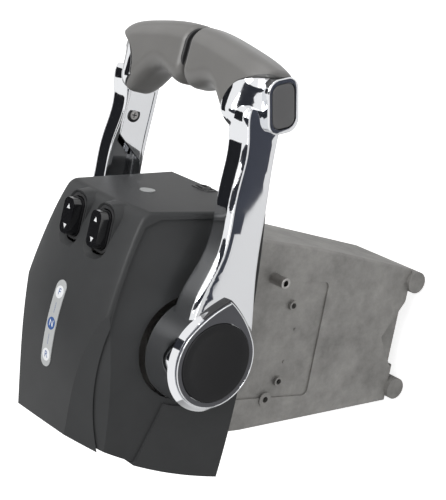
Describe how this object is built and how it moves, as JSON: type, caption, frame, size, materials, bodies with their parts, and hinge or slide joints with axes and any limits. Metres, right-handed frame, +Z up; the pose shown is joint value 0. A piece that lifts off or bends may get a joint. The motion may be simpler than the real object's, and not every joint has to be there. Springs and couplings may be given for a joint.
{
  "type": "boat throttle control lever",
  "caption": "Binnacle-mount boat throttle and shift control with twin chrome levers, rounded grips, a domed cover and a cast chassis below the console.",
  "frame": {"origin": "centre of the console bolt holes, on the console surface under the cover", "axes": "+X to starboard along the lever pivot, +Y forward, +Z up out of the console"},
  "size_m": [0.176, 0.3037, 0.3102],
  "materials": {
    "cover_plastic": "satin moulded",
    "grip_rubber": "soft satin",
    "chrome": "polished",
    "bezel_grey": "satin",
    "button_black": "matt",
    "cast_alloy": "cast, blasted",
    "machined_alloy": "machined",
    "steel": "machined",
    "bronze": "turned",
    "black_plastic": "moulded",
    "gloss_black": "glossy",
    "grey_pad": "satin",
    "gasket_foam": "closed-cell",
    "label_film": "printed film",
    "white_plastic": "moulded"
  },
  "bodies": {
    "base": {"cover": "cover_plastic", "mounting_plate": "machined_alloy", "gasket": "gasket_foam", "starboard_chassis": "cast_alloy", "port_chassis": "cast_alloy", "standoff": "steel", "centre_plate": "machined_alloy", "centre_bush": "bronze", "cable_anchor": "machined_alloy", "label_strip": "label_film", "access_plug": "white_plastic", "release_catch": "black_plastic", "starboard_rocker_frame": "black_plastic", "starboard_hub_bush": "bronze", "starboard_detent_spring": "steel", "starboard_neutral_switch": "black_plastic", "starboard_throttle_arm_pin": "steel", "starboard_shift_arm_pin": "steel", "port_rocker_frame": "black_plastic", "port_hub_bush": "bronze", "port_detent_spring": "steel", "port_neutral_switch": "black_plastic", "port_throttle_arm_pin": "steel", "port_shift_arm_pin": "steel"},
    "starboard_lever_body": {"starboard_lever": "chrome", "trim_bezel": "chrome", "trim_switch": "black_plastic", "starboard_grip": "grip_rubber", "starboard_hub_bezel": "bezel_grey", "starboard_button_spring": "steel", "starboard_hub_bolt": "steel", "starboard_lever_insert": "chrome", "starboard_insert_screw": "steel", "starboard_shaft": "steel", "starboard_drive_gear": "steel", "starboard_detent_plate": "steel"},
    "starboard_button_body": {"starboard_throttle_button": "button_black"},
    "starboard_rocker_body": {"starboard_rocker": "gloss_black"},
    "starboard_throttle_arm_body": {"starboard_throttle_arm": "steel"},
    "starboard_shift_arm_body": {"starboard_shift_arm": "steel"},
    "port_lever_body": {"port_lever": "chrome", "port_blank": "chrome", "port_grip": "grip_rubber", "port_hub_bezel": "bezel_grey", "port_button_spring": "steel", "port_hub_bolt": "steel", "port_lever_insert": "chrome", "port_insert_screw": "steel", "port_shaft": "steel", "port_drive_gear": "steel", "port_detent_plate": "steel"},
    "port_button_body": {"port_throttle_button": "button_black"},
    "port_rocker_body": {"port_rocker": "gloss_black"},
    "port_throttle_arm_body": {"port_throttle_arm": "steel"},
    "port_shift_arm_body": {"port_shift_arm": "steel"},
    "trim_body": {"trim_pad": "grey_pad"}
  },
  "joints": [
    {"name": "starboard_lever_turn", "type": "hinge", "parent": "base", "child": "starboard_lever_body", "pos_m": [0, 0, 0.045], "axis": [1, 0, 0], "range_deg": [0, 156]},
    {"name": "starboard_button_press", "type": "slide", "parent": "starboard_lever_body", "child": "starboard_button_body", "axis": [-1, 0, 0], "range_m": [0, 0.0035], "stiffness_N_per_m": 2500, "springref_m": -0.0008, "deforming": ["starboard_button_spring"]},
    {"name": "starboard_rocker_tilt", "type": "hinge", "parent": "base", "child": "starboard_rocker_body", "pos_m": [0.0164, 0.06959, 0.09851], "axis": [1, 0, 0], "range_deg": [-6, 6], "stiffness_Nm_per_rad": 0.5},
    {"name": "starboard_throttle_arm_turn", "type": "hinge", "parent": "base", "child": "starboard_throttle_arm_body", "pos_m": [0, -0.03287, 0.00216], "axis": [1, 0, 0], "range_deg": [-78, 0]},
    {"name": "starboard_shift_arm_turn", "type": "hinge", "parent": "base", "child": "starboard_shift_arm_body", "pos_m": [0, 0.03287, 0.00216], "axis": [1, 0, 0], "range_deg": [-78, 0]},
    {"name": "port_lever_turn", "type": "hinge", "parent": "base", "child": "port_lever_body", "pos_m": [0, 0, 0.045], "axis": [1, 0, 0], "range_deg": [0, 156]},
    {"name": "port_button_press", "type": "slide", "parent": "port_lever_body", "child": "port_button_body", "axis": [1, 0, 0], "range_m": [0, 0.0035], "stiffness_N_per_m": 2500, "springref_m": -0.0008, "deforming": ["port_button_spring"]},
    {"name": "port_rocker_tilt", "type": "hinge", "parent": "base", "child": "port_rocker_body", "pos_m": [-0.0164, 0.06959, 0.09851], "axis": [1, 0, 0], "range_deg": [-6, 6], "stiffness_Nm_per_rad": 0.5},
    {"name": "port_throttle_arm_turn", "type": "hinge", "parent": "base", "child": "port_throttle_arm_body", "pos_m": [0, -0.03287, 0.00216], "axis": [1, 0, 0], "range_deg": [-78, 0]},
    {"name": "port_shift_arm_turn", "type": "hinge", "parent": "base", "child": "port_shift_arm_body", "pos_m": [0, 0.03287, 0.00216], "axis": [1, 0, 0], "range_deg": [-78, 0]},
    {"name": "trim_tilt", "type": "hinge", "parent": "starboard_lever_body", "child": "trim_body", "pos_m": [0.08, 0.17145, 0.02497], "axis": [0, -0.2538, 0.9673], "range_deg": [-5, 5], "stiffness_Nm_per_rad": 0.5}
  ],
  "couplings": [
    {"joint": "starboard_throttle_arm_turn", "follows": "starboard_lever_turn", "ratio": -0.5},
    {"joint": "starboard_shift_arm_turn", "follows": "starboard_lever_turn", "ratio": -0.5},
    {"joint": "port_throttle_arm_turn", "follows": "port_lever_turn", "ratio": -0.5},
    {"joint": "port_shift_arm_turn", "follows": "port_lever_turn", "ratio": -0.5}
  ]
}
